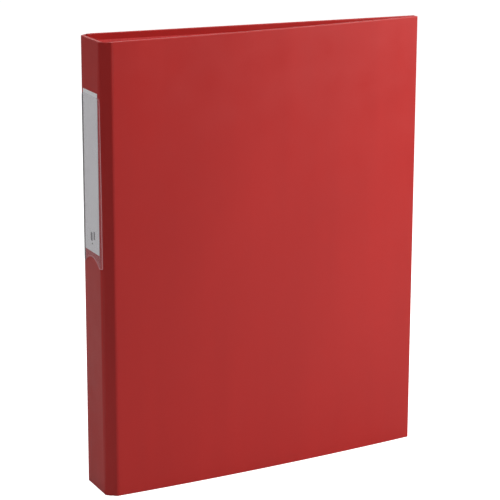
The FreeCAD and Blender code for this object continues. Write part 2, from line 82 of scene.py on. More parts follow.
TURN_IN = 15.0 * MM           # width of the covering turned over on to the inside
TURN_IN_STEP = 0.25 * MM
TURN_IN_SLOPE = 0.6 * MM      # half the width of the lining's slope beside it

# ---- covering round the boards' ends, behind the fold pieces
END_OVERLAP = 0.4 * MM        # how far it reaches behind the slab
END_INSET = 0.1 * MM          # how far it stops short of the slab's top and bottom
END_RADIUS = 0.3 * MM
END_SIDE = 0.35 * MM          # width of its side that leans towards the strip
END_LEAN = 0.7                # share of the room beside the strip that it leans through

# ---- strips beside the spine and fold pieces
STRIP_INSET = 0.15 * MM       # they stop this far inside the boards' ends
STRIP_LIP = 0.8 * SKIN        # height of their rounded ends
LIP_PINCH = 0.35              # how far their two faces close up there
CRUMPLE = 0.35 * MM           # waviness of the strips' ends, which have no board in them
CRUMPLE_DEPTH = 7.0 * MM
CRUMPLE_LEVELS = (0.12, 0.3, 0.55, 0.8)     # shares of that depth
WAVE_ACROSS = 5.5             # radians over a strip's width
WAVE_UP = 900                 # radians per metre of height

# ---- the spine's board and lining
BOARD_THICKNESS = 2.0 * MM
BOARD_INSET = 0.3 * MM        # how far it stops short of the covering's top and bottom
LINING_THICKNESS = 0.4 * MM
LINING_INSET = 4.5 * MM
LAYER_RADIUS = 0.05 * MM
LAYER_SHARP = math.radians(30)

# ---- label pocket, on the spine
FILM_WIDTH = 30.8 * MM
FILM_BOTTOM = 160.5 * MM
FILM_TOP = 277.5 * MM
FILM_CORNER = 3.0 * MM
FILM_THICKNESS = 0.18 * MM
FILM_GAP = 0.01 * MM          # between the spine and the film where it lies down
FILM_LIFT = 0.42 * MM         # room for the card behind the film
FILM_RISE = 0.9 * MM          # width over which the film rises beside its welds
FILM_RIM = 0.8 * MM           # border of the film, drawn pale pink: a painted highlight
RIM_ROWS = (0.0, 0.5, 1.0)    # shares of the border's width
MAIN_ROWS = 46
FILM_ROWS = 2 * len(RIM_ROWS) + MAIN_ROWS
WELD_FROM_EDGE = 2.2 * MM
NOTCH_WIDTH = 25.6 * MM
NOTCH_HEIGHT = 6.0 * MM
NOTCH_EASE = 0.5 * MM         # softness of the notch's two corners
LEG_RADIUS = 1.3 * MM         # of the round ends beside the notch
RIPPLE = 0.03 * MM
RIPPLE_UP = 17 * MM           # height per radian
RIPPLE_ACROSS = 5 * MM        # width per radian

# ---- label card, in the pocket
CARD_WIDTH = 25.0 * MM
CARD_THICKNESS = 0.25 * MM
CARD_GAP = 0.04 * MM          # between the spine and the card
CARD_CURL = 0.06 * MM
CURL_LENGTH = 12 * MM
PRINT_THICKNESS = 0.01 * MM
CARD_SHARP = math.radians(40)

# ---- arch spring
SPRING_RADIUS = 2.35 * MM
SPRING_WIRE = 0.4 * MM
SPRING_TURNS = 5
POINTS_PER_TURN = 28
SPRING_LEG = 7.0 * MM
SPRING_HOOK = 3.6 * MM

JOINTS = {joint["name"]: joint for joint in frame["joints"]}
NODES = frame["nodes"]


# ---------------------------------------------------------------- the case's outline

def no_draw(s):
    """For a panel that is not drawn in anywhere."""
    return Vector((0.0, 0.0))


def smooth(share):
    """0 to 1 with soft ends."""
    share = max(0.0, min(1.0, share))
    return share * share * (3 - 2 * share)


def draw_share(z):
    """1 at half height and 0 at the ends of the file."""
    from_middle = (2 * z - TOP - BOTTOM) / (TOP - BOTTOM)
    return 1 - min(1.0, from_middle ** 2)


class Panel:
    """A panel's neutral line in plan, from start to end. Depth runs from it towards the inside."""

    def __init__(self, start, end, inside, bow=0.0):
        self.start, self.end = Vector(start[:2]), Vector(end[:2])
        self.length = (self.end - self.start).length
        self.along = (self.end - self.start).normalized()
        self.inwards = Vector((-self.along.y, self.along.x))
        if self.inwards.dot(Vector(inside[:2]) - self.start) < 0:
            self.inwards = -self.inwards
        self.radius = (self.length ** 2 / 4 + bow ** 2) / (2 * bow) if bow else 0.0
        self.bow = bow
        self.drawn_in = no_draw

    def at(self, s, depth):
        """The plan point s along the panel and depth inside its neutral line."""
        if self.bow:
            half = self.length / 2
            turn = math.asin(max(-1.0, min(1.0, (s - half) / self.radius)))
            s = half + (self.radius - depth) * math.sin(turn)
            depth = self.radius - self.bow - (self.radius - depth) * math.cos(turn)
        return self.start + self.along * s + self.inwards * depth

    def point(self, s, depth, z):
        """The same at a height, with the stretches that are drawn in at half height."""
        return (*(self.at(s, depth) + self.drawn_in(s) * draw_share(z)), z)

    def place(self, bm):
        """Bends a bmesh drawn in (s, depth, z) on to the panel."""
        for vertex in bm.verts:
            vertex.co = self.point(*vertex.co)
        return bm


def crease(joint_name):
    """A crease's place in plan: it is its joint's axis."""
    return Vector(JOINTS[joint_name]["pos_m"][:2])


def outermost(node_name):
    """The plan point of a node that is furthest along +X."""
    return max((v.co for v in NODES[node_name].data.vertices), key=lambda co: co.x).xy


BACK_SHOULDER = crease("back_strip_fold")
BACK_SPINE = crease("spine_fold")
FRONT_SPINE = crease("front_strip_fold")
FRONT_SHOULDER = crease("cover_fold")
MIDDLE = (BACK_SPINE + FRONT_SPINE) / 2 + Vector((20 * MM, 0))      # a point inside the file

front_corner = outermost("front_wrap")
front_direction = (front_corner - FRONT_SHOULDER).normalized()
front_outwards = Vector((front_direction.y, -front_direction.x))
FRONT_FORE = front_corner - front_outwards * SKIN
back_low, back_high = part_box("back_wrap")
BACK_FORE = Vector((back_high.x, BACK_SHOULDER.y))

THICKNESS = back_high.y - back_low.y
BOTTOM, TOP = back_low.z, back_high.z

BACK_COVER = Panel(BACK_SHOULDER, BACK_FORE, MIDDLE)
BACK_STRIP = Panel(BACK_SPINE, BACK_SHOULDER, MIDDLE)
SPINE = Panel(FRONT_SPINE, BACK_SPINE, MIDDLE)
FRONT_STRIP = Panel(FRONT_SPINE, FRONT_SHOULDER, MIDDLE)
FRONT_COVER = Panel(FRONT_SHOULDER, FRONT_FORE, MIDDLE, FRONT_BOW)


def spine_drawn_in(s):
    """How far the spine is drawn in at half height, at s from its front edge."""
    return SPINE.inwards * (EDGE_DRAWN_IN * smooth(1 - s / EDGE_SOFTNESS))


def front_strip_drawn_in(s):
    """How far the front strip is drawn in at half height, at s from the spine."""
    return SPINE.inwards * (EDGE_DRAWN_IN * (1 - s / FRONT_STRIP.length))


SPINE.drawn_in = spine_drawn_in
FRONT_STRIP.drawn_in = front_strip_drawn_in


def turn_between(first, second):
    """How far the skin turns from one direction to another, in radians."""
    return math.acos(max(-1.0, min(1.0, first.dot(second))))


def crease_reach(turn, radius):
    """From a crease's corner to where its rounding ends and the slab or strip begins."""
    return radius * math.tan(turn / 2) + CREASE_LAP


SHOULDER_TURN = turn_between(FRONT_STRIP.along, FRONT_COVER.along)
SPINE_TURN = turn_between(-SPINE.along, FRONT_STRIP.along)
BACK_SHOULDER_TURN = turn_between(BACK_STRIP.along, BACK_COVER.along)
BACK_SPINE_TURN = turn_between(SPINE.along, BACK_STRIP.along)


# ---------------------------------------------------------------- materials

STAIN = (0.25, 0.23, 0.21)


def material(name):
    """A new node material, its tree and its shader."""
    made = bpy.data.materials.new(name)
    made.use_nodes = True
    return made, made.node_tree, made.node_tree.nodes["Principled BSDF"]


def stretched_coordinates(tree, scale):
    """Object coordinates, scaled by scale along each axis."""
    coordinates = tree.nodes.new("ShaderNodeTexCoord")
    mapping = tree.nodes.new("ShaderNodeMapping")
    mapping.inputs["Scale"].default_value = scale
    tree.links.new(coordinates.outputs["Object"], mapping.inputs["Vector"])
    return mapping.outputs["Vector"]


def noise(tree, scale, detail=3.0, stretch=(1, 1, 1)):
    """Noise with scale in repeats per metre."""
    made = tree.nodes.new("ShaderNodeTexNoise")
    made.inputs["Scale"].default_value = scale
    made.inputs["Detail"].default_value = detail
    made.inputs["Roughness"].default_value = 0.55
    tree.links.new(stretched_coordinates(tree, stretch), made.inputs["Vector"])
    return made.outputs["Fac"]


def cells(tree, scale, stretch):
    """The distance to the nearest cell's middle, with scale in cells per metre."""
    made = tree.nodes.new("ShaderNodeTexVoronoi")
    made.inputs["Scale"].default_value = scale
    tree.links.new(stretched_coordinates(tree, stretch), made.inputs["Vector"])
    return made.outputs["Distance"]


def maths(tree, operation, *values):
    """One sum on sockets or numbers."""
    made = tree.nodes.new("ShaderNodeMath")
    made.operation = operation
    for socket, value in zip(made.inputs, values):
        if isinstance(value, bpy.types.NodeSocket):
            tree.links.new(value, socket)
        else:
            socket.default_value = value
    return made.outputs["Value"]


def remap(tree, value, low, high, to_low, to_high):
    """A socket's stretch from low to high, brought to the stretch from to_low to to_high."""
    made = tree.nodes.new("ShaderNodeMapRange")
    made.inputs["From Min"].default_value = low
    made.inputs["From Max"].default_value = high
    made.inputs["To Min"].default_value = to_low
    made.inputs["To Max"].default_value = to_high
    tree.links.new(value, made.inputs["Value"])
    return made.outputs["Result"]


def blend_colours(tree, factor, first, second):
    """Mixes two colours, or a colour socket and a colour, by a factor socket."""
    made = tree.nodes.new("ShaderNodeMix")
    made.data_type = "RGBA"
    tree.links.new(factor, made.inputs["Factor"])
    for socket, value in (("A", first), ("B", second)):
        target = [i for i in made.inputs if i.name == socket and i.type == "RGBA"][0]
        if isinstance(value, bpy.types.NodeSocket):
            tree.links.new(value, target)
        else:
            target.default_value = (*value, 1.0)
    return [o for o in made.outputs if o.type == "RGBA"][0]


def bump(tree, layers):
    """Chains bumps, each (height socket, depth in metres, strength), and gives the last normal."""
    normal = None
    for height, depth, strength in layers:
        made = tree.nodes.new("ShaderNodeBump")
        made.inputs["Distance"].default_value = depth
        made.inputs["Strength"].default_value = strength
        tree.links.new(height, made.inputs["Height"])
        if normal:
            tree.links.new(normal, made.inputs["Normal"])
        normal = made.outputs["Normal"]
    return normal


def foil(name, colour, dark, roughness, grain=1.0):
    """Red covering foil: satin, with faint waves, a fine crepe and embossed grain, and faint rubbing."""
    made, tree, shader = material(name)
    patches = noise(tree, 14, 4, (1, 1, 0.5))
    streaks = noise(tree, 60, 2, (1, 1, 0.06))
    mottled = blend_colours(tree, remap(tree, patches, 0.35, 0.65, 0.0, 0.35), colour, dark)
    tree.links.new(blend_colours(tree, remap(tree, streaks, 0.3, 0.7, 0.0, 0.25), mottled, dark),
                   shader.inputs["Base Color"])
    rub = noise(tree, 45, 5)
    rough = remap(tree, rub, 0.3, 0.7, roughness - 0.03, roughness + 0.05)
    tree.links.new(rough, shader.inputs["Roughness"])
    shader.inputs["Specular IOR Level"].default_value = 0.42
    relief = [(noise(tree, 25, 2), 0.35 * MM, 0.12),
              (noise(tree, 300, 3, (0.3, 0.3, 1)), 0.06 * MM, 0.3 * grain),
              (cells(tree, 1400, (1, 1, 0.8)), 0.05 * MM, 0.35 * grain),
              (noise(tree, 3200, 3), 0.03 * MM, 0.3 * grain)]
    tree.links.new(bump(tree, relief), shader.inputs["Normal"])
    return made


def turn_in_step(tree):
    """1 where the lining lies over the covering's turned-in border, and 0 inside it."""
    coordinates = tree.nodes.new("ShaderNodeTexCoord")
    parts = tree.nodes.new("ShaderNodeSeparateXYZ")
    tree.links.new(coordinates.outputs["Object"], parts.inputs["Vector"])
    above_middle = maths(tree, "SUBTRACT", parts.outputs["Z"], (TOP + BOTTOM) / 2)
    from_middle = maths(tree, "ABSOLUTE", above_middle)
    ends = maths(tree, "SUBTRACT", from_middle, (TOP - BOTTOM) / 2 - TURN_IN)
    fore_edge = maths(tree, "SUBTRACT", parts.outputs["X"], BACK_FORE.x - TURN_IN)
    past_border = maths(tree, "MAXIMUM", ends, fore_edge)
    return remap(tree, past_border, -TURN_IN_SLOPE, TURN_IN_SLOPE, 0.0, 1.0)


def paper(name, colour, dark, roughness, fibre, turned_in=False):
    """Paper or board with fibre repeats of its fibres per metre, and the covering's border under it."""
    made, tree, shader = material(name)
    fibres = noise(tree, fibre, 5, (1, 1, 0.35))
    tree.links.new(blend_colours(tree, remap(tree, fibres, 0.35, 0.7, 0.0, 1.0), colour, dark),
                   shader.inputs["Base Color"])
    rough = remap(tree, fibres, 0.3, 0.7, roughness - 0.08, roughness + 0.08)
    tree.links.new(rough, shader.inputs["Roughness"])
    shader.inputs["Specular IOR Level"].default_value = 0.3
    relief = [(fibres, 0.04 * MM, 0.35), (noise(tree, 30, 2), 0.2 * MM, 0.15)]
    if turned_in:
        relief.append((turn_in_step(tree), TURN_IN_STEP, 1.0))
    tree.links.new(bump(tree, relief), shader.inputs["Normal"])
    return made


def metal(name, colour, roughness, brush=(1, 1, 1)):
    """Plated steel with fine brushing along the axis whose stretch is smallest, and faint stains."""
    made, tree, shader = material(name)
    shader.inputs["Metallic"].default_value = 1.0
    lines = noise(tree, 2500, 3, brush)
    stains = noise(tree, 120, 5)
    stained = remap(tree, stains, 0.55, 0.8, 0.0, 0.35)
    tree.links.new(blend_colours(tree, stained, colour, STAIN), shader.inputs["Base Color"])
    rough = remap(tree, lines, 0.3, 0.7, roughness - 0.06, roughness + 0.08)
    tree.links.new(rough, shader.inputs["Roughness"])
    relief = [(lines, 0.01 * MM, 0.25), (noise(tree, 400, 2), 0.03 * MM, 0.12)]
    tree.links.new(bump(tree, relief), shader.inputs["Normal"])
    return made


def moulded(name, colour, roughness):
    """Moulded plastic with a fine spark-eroded texture."""
    made, tree, shader = material(name)
    texture = noise(tree, 3500, 2)
    wear = noise(tree, 250, 4)
    worn = [part * 1.8 for part in colour]
    tree.links.new(blend_colours(tree, remap(tree, wear, 0.5, 0.8, 0.0, 0.3), colour, worn),
                   shader.inputs["Base Color"])
    rough = remap(tree, wear, 0.3, 0.7, roughness - 0.06, roughness + 0.08)
    tree.links.new(rough, shader.inputs["Roughness"])
    tree.links.new(bump(tree, [(texture, 0.02 * MM, 0.3)]), shader.inputs["Normal"])
    return made


def clear_film(name, colour, alpha):
    """Soft clear film: a faint veil over what is behind it, with smudges and slow waves."""
    made, tree, shader = material(name)
    shader.inputs["Base Color"].default_value = (*colour, 1)
    shader.inputs["Alpha"].default_value = alpha
    smudges = noise(tree, 90, 4)
    tree.links.new(remap(tree, smudges, 0.3, 0.7, 0.16, 0.30), shader.inputs["Roughness"])
    shader.inputs["Specular IOR Level"].default_value = 0.6
    tree.links.new(bump(tree, [(noise(tree, 60, 2), 0.25 * MM, 0.3)]), shader.inputs["Normal"])
    return made


RED = (0.45, 0.011, 0.008)
RED_DARK = (0.37, 0.007, 0.005)
COVERING = foil("red_covering_foil", RED, RED_DARK, 0.42)
# A darker copy of the covering foil, for the strips and creases: painted shade. Its rougher, coarser crepe
# is the creased foil's own.
CREASED_FOIL_SHADED = foil("red_creased_foil_painted_shade", (0.41, 0.008, 0.006), (0.32, 0.005, 0.004), 0.5, 1.3)
# Red lining paper: its own red, made lighter and pinker to stand in for light and sheen inside the file, so
# partly painted light.
LINING_PAPER_AND_PAINTED_LIGHT = paper("red_lining_paper_painted_light", (0.70, 0.068, 0.068), (0.60, 0.050, 0.050), 0.7, 900, True)
BOARD_GREY = paper("grey_board", (0.30, 0.27, 0.23), (0.20, 0.18, 0.15), 0.9, 700)
CARD = paper("label_card_paper", (0.86, 0.86, 0.88), (0.80, 0.80, 0.81), 0.6, 900)
PRINT = paper("label_print", (0.16, 0.16, 0.17), (0.30, 0.30, 0.31), 0.7, 1500)
FILM = clear_film("label_pocket_film", (0.72, 0.66, 0.72), 0.09)
# The film's border and notch edge, pale pink: a painted highlight along the film's edges.
FILM_PAINTED_HIGHLIGHT = clear_film("label_pocket_painted_highlight", (0.95, 0.42, 0.45), 0.5)
# A dark grey band along the film's back edge: painted shade at the spine's back corner.
FILM_PAINTED_SHADE = clear_film("label_pocket_painted_shade", (0.24, 0.23, 0.24), 0.80)
NICKEL = metal("nickel_plated_wire", (0.86, 0.84, 0.80), 0.2)
SHEET_STEEL = metal("nickel_plated_sheet", (0.80, 0.79, 0.77), 0.3, (1, 1, 0.04))
LEVER_STEEL = metal("nickel_plated_lever", (0.84, 0.82, 0.79), 0.24, (1, 1, 0.05))
ZINC = metal("zinc_plated_pins", (0.70, 0.70, 0.73), 0.36)
SPRING_STEEL = metal("oiled_spring_wire", (0.30, 0.29, 0.28), 0.3)
NYLON = moulded("black_nylon", (0.025, 0.025, 0.026), 0.42)
CLIP_PLASTIC = moulded("black_clip_plastic", (0.018, 0.018, 0.02), 0.5)


# ---------------------------------------------------------------- mesh helpers

def new_piece(name, mesh, made_of):
    """An object with one material or a list of them."""
    piece = bpy.data.objects.new(name, mesh)
    bpy.context.scene.collection.objects.link(piece)
    for each in made_of if isinstance(made_of, (list, tuple)) else [made_of]:
        piece.data.materials.append(each)
    return piece


def mesh_from(bm, name):
    """A smooth mesh made of a bmesh, which is used up."""
    bmesh.ops.recalc_face_normals(bm, faces=bm.faces)
    for face in bm.faces:
        face.smooth = True
    mesh = bpy.data.meshes.new(name)
    bm.to_mesh(mesh)
    bm.free()
    return mesh


def keep_flats_flat(piece):
    """Shades a rounded slab so that its rounded edges are smooth and its large faces stay flat."""
    shading = piece.modifiers.new("weighted_normals", "WEIGHTED_NORMAL")
    shading.mode = "FACE_AREA"
    shading.weight = 100
    shading.keep_sharp = True


def shell(name, outer_rows, inner_rows, kind=None):
    """A closed sheet between two matching grids of points. kind(row, column) gives a face's material."""
    bm = bmesh.new()
    outer = [[bm.verts.new(point) for point in row] for row in outer_rows]
    inner = [[bm.verts.new(point) for point in row] for row in inner_rows]
    last_row, last_column = len(outer) - 1, len(outer[0]) - 1
    for r in range(last_row):
        for c in range(last_column):
            for side in (outer, inner):
                face = bm.faces.new((side[r][c], side[r][c + 1], side[r + 1][c + 1], side[r + 1][c]))
                face.material_index = kind(r, c) if kind else 0
    border = [(0, c) for c in range(last_column)] + [(r, last_column) for r in range(last_row)]
    border += [(last_row, c) for c in range(last_column, 0, -1)] + [(r, 0) for r in range(last_row, 0, -1)]
    for (r, c), (r2, c2) in zip(border, border[1:] + border[:1]):
        face = bm.faces.new((outer[r][c], outer[r2][c2], inner[r2][c2], inner[r][c]))
        face.material_index = kind(min(r, r2, last_row - 1), min(c, c2, last_column - 1)) if kind else 0
    return mesh_from(bm, name)


def rounded_box(low, high, radius, segments=3, is_sharp=None):
    """A box with rounded edges, as a bmesh. Edges for which is_sharp(middle) is true stay sharp."""
    bm = bmesh.new()
    bmesh.ops.create_cube(bm, size=1.0)
    low, high = Vector(low), Vector(high)
    for vertex in bm.verts:
        vertex.co = Vector([low[i] + (vertex.co[i] + 0.5) * (high[i] - low[i]) for i in range(3)])
    chosen = []
    for edge in bm.edges:
        middle = (edge.verts[0].co + edge.verts[1].co) / 2
        if is_sharp is None or not is_sharp(middle):
            chosen.append(edge)
    bmesh.ops.bevel(bm, geom=chosen, offset=radius, segments=segments, profile=0.5, affect="EDGES")
    return bm


def cut_across(bm, axis, positions):
    """Cuts every face where it crosses each position along an axis."""
    normal = Vector([1.0 if i == axis else 0.0 for i in range(3)])
    for position in positions:
        everything = bm.verts[:] + bm.edges[:] + bm.faces[:]
        bmesh.ops.bisect_plane(bm, geom=everything, plane_co=normal * position, plane_no=normal)


def steps(low, high, count):
    """count positions strictly between low and high."""
    return [low + (high - low) * (i + 1) / (count + 1) for i in range(count)]


# ---------------------------------------------------------------- covering

def cut_for_shape(bm, panel, s0, s1):
    """Cuts a slab finely enough for its panel's bow or drawn-in edge."""
    if panel.drawn_in is no_draw:
        cut_across(bm, 0, steps(s0, s1, BOW_CUTS if panel.bow else FLAT_CUTS[0]))
        cut_across(bm, 2, steps(BOTTOM, TOP, FLAT_CUTS[1]))
    else:
        cut_across(bm, 0, steps(0.0, EDGE_SOFTNESS, DRAWN_CUTS[0]) + [EDGE_SOFTNESS])
        cut_across(bm, 2, steps(BOTTOM, TOP, DRAWN_CUTS[1]))


def covering_slab(name, panel, from_crease, to_crease, body, node_name):
    """A covered board. from_crease and to_crease are the reaches of the creases at its ends, or None at a
    free edge."""
    s0 = from_crease or 0.0
    s1 = panel.length - (to_crease or 0.0)
    outer, inner = -SKIN, THICKNESS - SKIN

    def joins_skin(middle):
        """The outer edge beside a crease, where the skin runs on into the fold piece."""
        at_start = from_crease is not None and abs(middle.x - s0) < SAME_PLACE
        at_end = to_crease is not None and abs(middle.x - s1) < SAME_PLACE
        return (at_start or at_end) and abs(middle.y - outer) < SAME_PLACE

    bm = rounded_box((s0, outer, BOTTOM), (s1, inner, TOP), BOARD_EDGE_RADIUS, BOARD_EDGE_SEGMENTS,
                     joins_skin)
    cut_for_shape(bm, panel, s0, s1)
    piece = new_piece(name, mesh_from(panel.place(bm), name), COVERING)
    piece.data.set_sharp_from_angle(angle=SKIN_SHARP)
    keep_flats_flat(piece)
    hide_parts(node_name)
    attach(piece, body)


def board_end(name, panel, at_start, reach, turn, body):
    """The covering turned round a board's end at a crease, behind the fold piece. It leans towards the strip
    and stays clear of it."""
    s0, s1 = BOARD_END, reach + END_OVERLAP
    if not at_start:
        s0, s1 = panel.length - s1, panel.length - s0
    near, far = SKIN / 2, THICKNESS - SKIN
    bm = rounded_box((s0, near, BOTTOM + END_INSET), (s1, far, TOP - END_INSET), END_RADIUS)
    cut_for_shape(bm, panel, s0, s1)
    lean = END_LEAN / math.tan(turn)
    for vertex in bm.verts:
        shift = lean * (vertex.co.y - near)
        if at_start and vertex.co.x < s0 + END_SIDE:
            vertex.co.x -= shift
        elif not at_start and vertex.co.x > s1 - END_SIDE:
            vertex.co.x += shift
    piece = new_piece(name, mesh_from(panel.place(bm), name), COVERING)
    keep_flats_flat(piece)
    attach(piece, body)


def spine_layer(name, node_name, made_of, near, far, inset):
    """The spine's board or lining, from near to far below the skin and drawn in with it."""
    s0, s1 = BOARD_GAP, SPINE.length - BOARD_GAP
    bm = rounded_box((s0, near, BOTTOM + inset), (s1, far, TOP - inset), LAYER_RADIUS, 1)
    cut_for_shape(bm, SPINE, s0, s1)
    piece = new_piece(name, mesh_from(SPINE.place(bm), name), made_of)
    piece.data.set_sharp_from_angle(angle=LAYER_SHARP)
    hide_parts(node_name)
    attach(piece, "spine")


def strip_levels():
    """The heights of a strip's rows, closest at its rounded and crumpled ends."""
    low, high = BOTTOM + STRIP_INSET, TOP - STRIP_INSET
    near_ends = [CRUMPLE_DEPTH * share for share in CRUMPLE_LEVELS]
    levels = [low, low + STRIP_LIP] + [low + d for d in near_ends]
    levels += steps(low + CRUMPLE_DEPTH, high - CRUMPLE_DEPTH, 20)
    return levels + [high - d for d in reversed(near_ends)] + [high - STRIP_LIP, high]


def skin_strip(name, outline, body=None, replaced=None, crumple=0.0):
    """A folded stretch of covering over the file's height. outline is a list of (outer point, inner point,
    how far they are drawn in at half height) in plan. Its ends are rounded, and crumple is how far they
    wave in and out."""
    levels = strip_levels()
    low, high = levels[0], levels[-1]
    outer_rows, inner_rows = [], []
    for z in levels:
        pinch = LIP_PINCH if z in (low, high) else 0.0
        near = max(0.0, 1 - min(z - low, high - z) / CRUMPLE_DEPTH)
        outer_row, inner_row = [], []
        for i, (outer, inner, drawn) in enumerate(outline):
            middle = (outer + inner) / 2
            share = i / (len(outline) - 1)
            wave = math.sin(math.pi * share) ** 2 * math.sin(WAVE_ACROSS * share + WAVE_UP * z) * near ** 2
            out = (outer - inner).normalized() * (crumple * wave) + drawn * draw_share(z)
            outer_row.append((*(outer.lerp(middle, pinch) + out), z))
            inner_row.append((*(inner.lerp(middle, pinch) + out), z))
        outer_rows.append(outer_row)
        inner_rows.append(inner_row)
    # The strips and fold pieces take the darker foil: painted shade in the creases.
    piece = new_piece(name, shell(name, outer_rows, inner_rows), CREASED_FOIL_SHADED)
    piece.data.set_sharp_from_angle(angle=SKIN_SHARP)
    if replaced:
        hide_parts(replaced)
    if body:
        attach(piece, body)
    return piece


def strip_piece(name, panel, reach_start, reach_end, body, node_name):
    """The soft strip between the spine and a cover, between the fold pieces at its two sides."""
    s0, s1 = reach_start, panel.length - reach_end
    stations = [s0] + steps(s0, s1, 9) + [s1]
    outline = [(panel.at(s, -SKIN), panel.at(s, SKIN), panel.drawn_in(s)) for s in stations]
    skin_strip(name, outline, body, node_name, CRUMPLE)


def fold_piece(name, corner, before, after, turn, radius, drawn_before=no_draw, drawn_after=no_draw):
    """The covering over a crease at corner. before and after are the unit directions along the skin from
    the corner, and drawn_before and drawn_after say how far it is drawn in on either side, by the distance
    from the corner."""
    inwards = (before + after).normalized()
    centre = corner + inwards * (radius / math.cos(turn / 2))
    tangent = radius * math.tan(turn / 2)
    first, last = corner + before * tangent, corner + after * tangent
    out_first, out_last = (first - centre).normalized(), (last - centre).normalized()
    outline = []
    for lap in (CREASE_LAP, CREASE_LAP / 2):
        point = first + before * lap
        drawn = drawn_before(tangent + lap)
        outline.append((point + out_first * SKIN, point - out_first * SKIN, drawn))
    for i in range(FOLD_FACETS + 1):
        out = out_first.slerp(out_last, i / FOLD_FACETS)
        from_corner = tangent * (2 * i / FOLD_FACETS - 1)
        drawn = drawn_before(-from_corner) if from_corner < 0 else drawn_after(from_corner)
        outline.append((centre + out * (radius + SKIN), centre + out * (radius - SKIN), drawn))
    for lap in (CREASE_LAP / 2, CREASE_LAP):
        point = last + after * lap
        drawn = drawn_after(tangent + lap)
        outline.append((point + out_last * SKIN, point - out_last * SKIN, drawn))
    piece = skin_strip(name, outline)
    across = first - last
    if drawn_before is not no_draw:
        across = across.project(before)
    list(first)
    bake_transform(piece)


def front_strip_from_shoulder(s):
    """How far the front strip is drawn in at half height, at s from the front cover."""
    return front_strip_drawn_in(FRONT_STRIP.length - s)


shoulder_reach = crease_reach(SHOULDER_TURN, SHOULDER_RADIUS)
spine_reach = crease_reach(SPINE_TURN, SPINE_RADIUS)
back_shoulder_reach = crease_reach(BACK_SHOULDER_TURN, SHOULDER_RADIUS)
back_spine_reach = crease_reach(BACK_SPINE_TURN, SPINE_RADIUS)

covering_slab("front_covering", FRONT_COVER, shoulder_reach, None, "front_cover", "front_wrap")
covering_slab("spine_covering", SPINE, spine_reach, back_spine_reach, "spine", "spine_wrap")
covering_slab("back_covering", BACK_COVER, back_shoulder_reach, None, "back_cover", "back_wrap")
board_end("front_board_end", FRONT_COVER, True, shoulder_reach, SHOULDER_TURN, "front_cover")
board_end("spine_front_end", SPINE, True, spine_reach, SPINE_TURN, "spine")
board_end("spine_back_end", SPINE, False, back_spine_reach, BACK_SPINE_TURN, "spine")
board_end("back_board_end", BACK_COVER, True, back_shoulder_reach, BACK_SHOULDER_TURN, "back_cover")
strip_piece("front_strip_covering", FRONT_STRIP, spine_reach, shoulder_reach, "front_hinge",
            "front_hinge_strip")
strip_piece("back_strip_covering", BACK_STRIP, back_spine_reach, back_shoulder_reach, "back_hinge",
            "back_hinge_strip")
spine_layer("spine_greyboard", "spine_board", BOARD_GREY, 0.0, BOARD_THICKNESS, BOARD_INSET)
spine_layer("spine_inner_lining", "spine_lining", LINING_PAPER_AND_PAINTED_LIGHT, BOARD_THICKNESS,
            BOARD_THICKNESS + LINING_THICKNESS, LINING_INSET)
fold_piece("front_cover_crease", FRONT_SHOULDER, -FRONT_STRIP.along, FRONT_COVER.along, SHOULDER_TURN,
           SHOULDER_RADIUS, drawn_before=front_strip_from_shoulder)
fold_piece("front_spine_crease", FRONT_SPINE, SPINE.along, FRONT_STRIP.along, SPINE_TURN, SPINE_RADIUS,
           spine_drawn_in, front_strip_drawn_in)
fold_piece("back_spine_crease", BACK_SPINE, -SPINE.along, BACK_STRIP.along, BACK_SPINE_TURN, SPINE_RADIUS)
fold_piece("back_cover_crease", BACK_SHOULDER, -BACK_STRIP.along, BACK_COVER.along, BACK_SHOULDER_TURN,
           SHOULDER_RADIUS)


# ---------------------------------------------------------------- label and its pocket

def on_spine(across, out, z):
    """A point across from the spine's middle towards the front, and out from its outer face."""
    return SPINE.point(SPINE.length / 2 - across, -SKIN - out, z)


def film_lower(across):
    """The film's lower edge: a shallow arch for the thumb between two legs with round ends."""
    radius = ((NOTCH_WIDTH / 2) ** 2 + NOTCH_HEIGHT ** 2) / (2 * NOTCH_HEIGHT)
    arch = math.sqrt(radius ** 2 - across ** 2) - (radius - NOTCH_HEIGHT)
    lower = (arch + math.sqrt(arch ** 2 + NOTCH_EASE ** 2)) / 2
    past = max(0.0, abs(across) - (FILM_WIDTH / 2 - LEG_RADIUS))
    return FILM_BOTTOM + lower + LEG_RADIUS - math.sqrt(max(0.0, LEG_RADIUS ** 2 - past ** 2))


def film_upper(across):
    """The film's upper edge, with round corners."""
    past = max(0.0, abs(across) - (FILM_WIDTH / 2 - FILM_CORNER))
    return FILM_TOP - FILM_CORNER + math.sqrt(max(0.0, FILM_CORNER ** 2 - past ** 2))


def film_out(across, z):
    """How far the film's back stands off the spine: it lies down outside its welds."""
    inside_weld = (FILM_WIDTH / 2 - WELD_FROM_EDGE - abs(across)) / FILM_RISE
    ripple = RIPPLE * math.sin(z / RIPPLE_UP) * math.cos(across / RIPPLE_ACROSS)
    return FILM_GAP + smooth(inside_weld) * (FILM_LIFT + ripple)


def film_columns():
    """Places across the film, closest where it rises beside its welds and in its border."""
    half = FILM_WIDTH / 2
    welds = half - WELD_FROM_EDGE
    right = steps(0.0, welds - MM, 9) + [welds - inside * MM for inside in (0.9, 0.7, 0.45, 0.2, 0.0)]
    right += [half - FILM_RIM, half - 0.3 * MM, half - 0.1 * MM, half]
    return [-across for across in reversed(right)] + [0.0] + right


def film_height(row, across):
    """The height of a row of the film's points: a few rows in each border, and the rest evenly spaced."""
    low, high = film_lower(across), film_upper(across)
    from_top = FILM_ROWS - 1 - row
    if row < len(RIM_ROWS):
        return low + FILM_RIM * RIM_ROWS[row]
    if from_top < len(RIM_ROWS):
        return high - FILM_RIM * RIM_ROWS[from_top]
    share = (row - len(RIM_ROWS) + 1) / (MAIN_ROWS + 1)
    return low + FILM_RIM + share * (high - low - 2 * FILM_RIM)


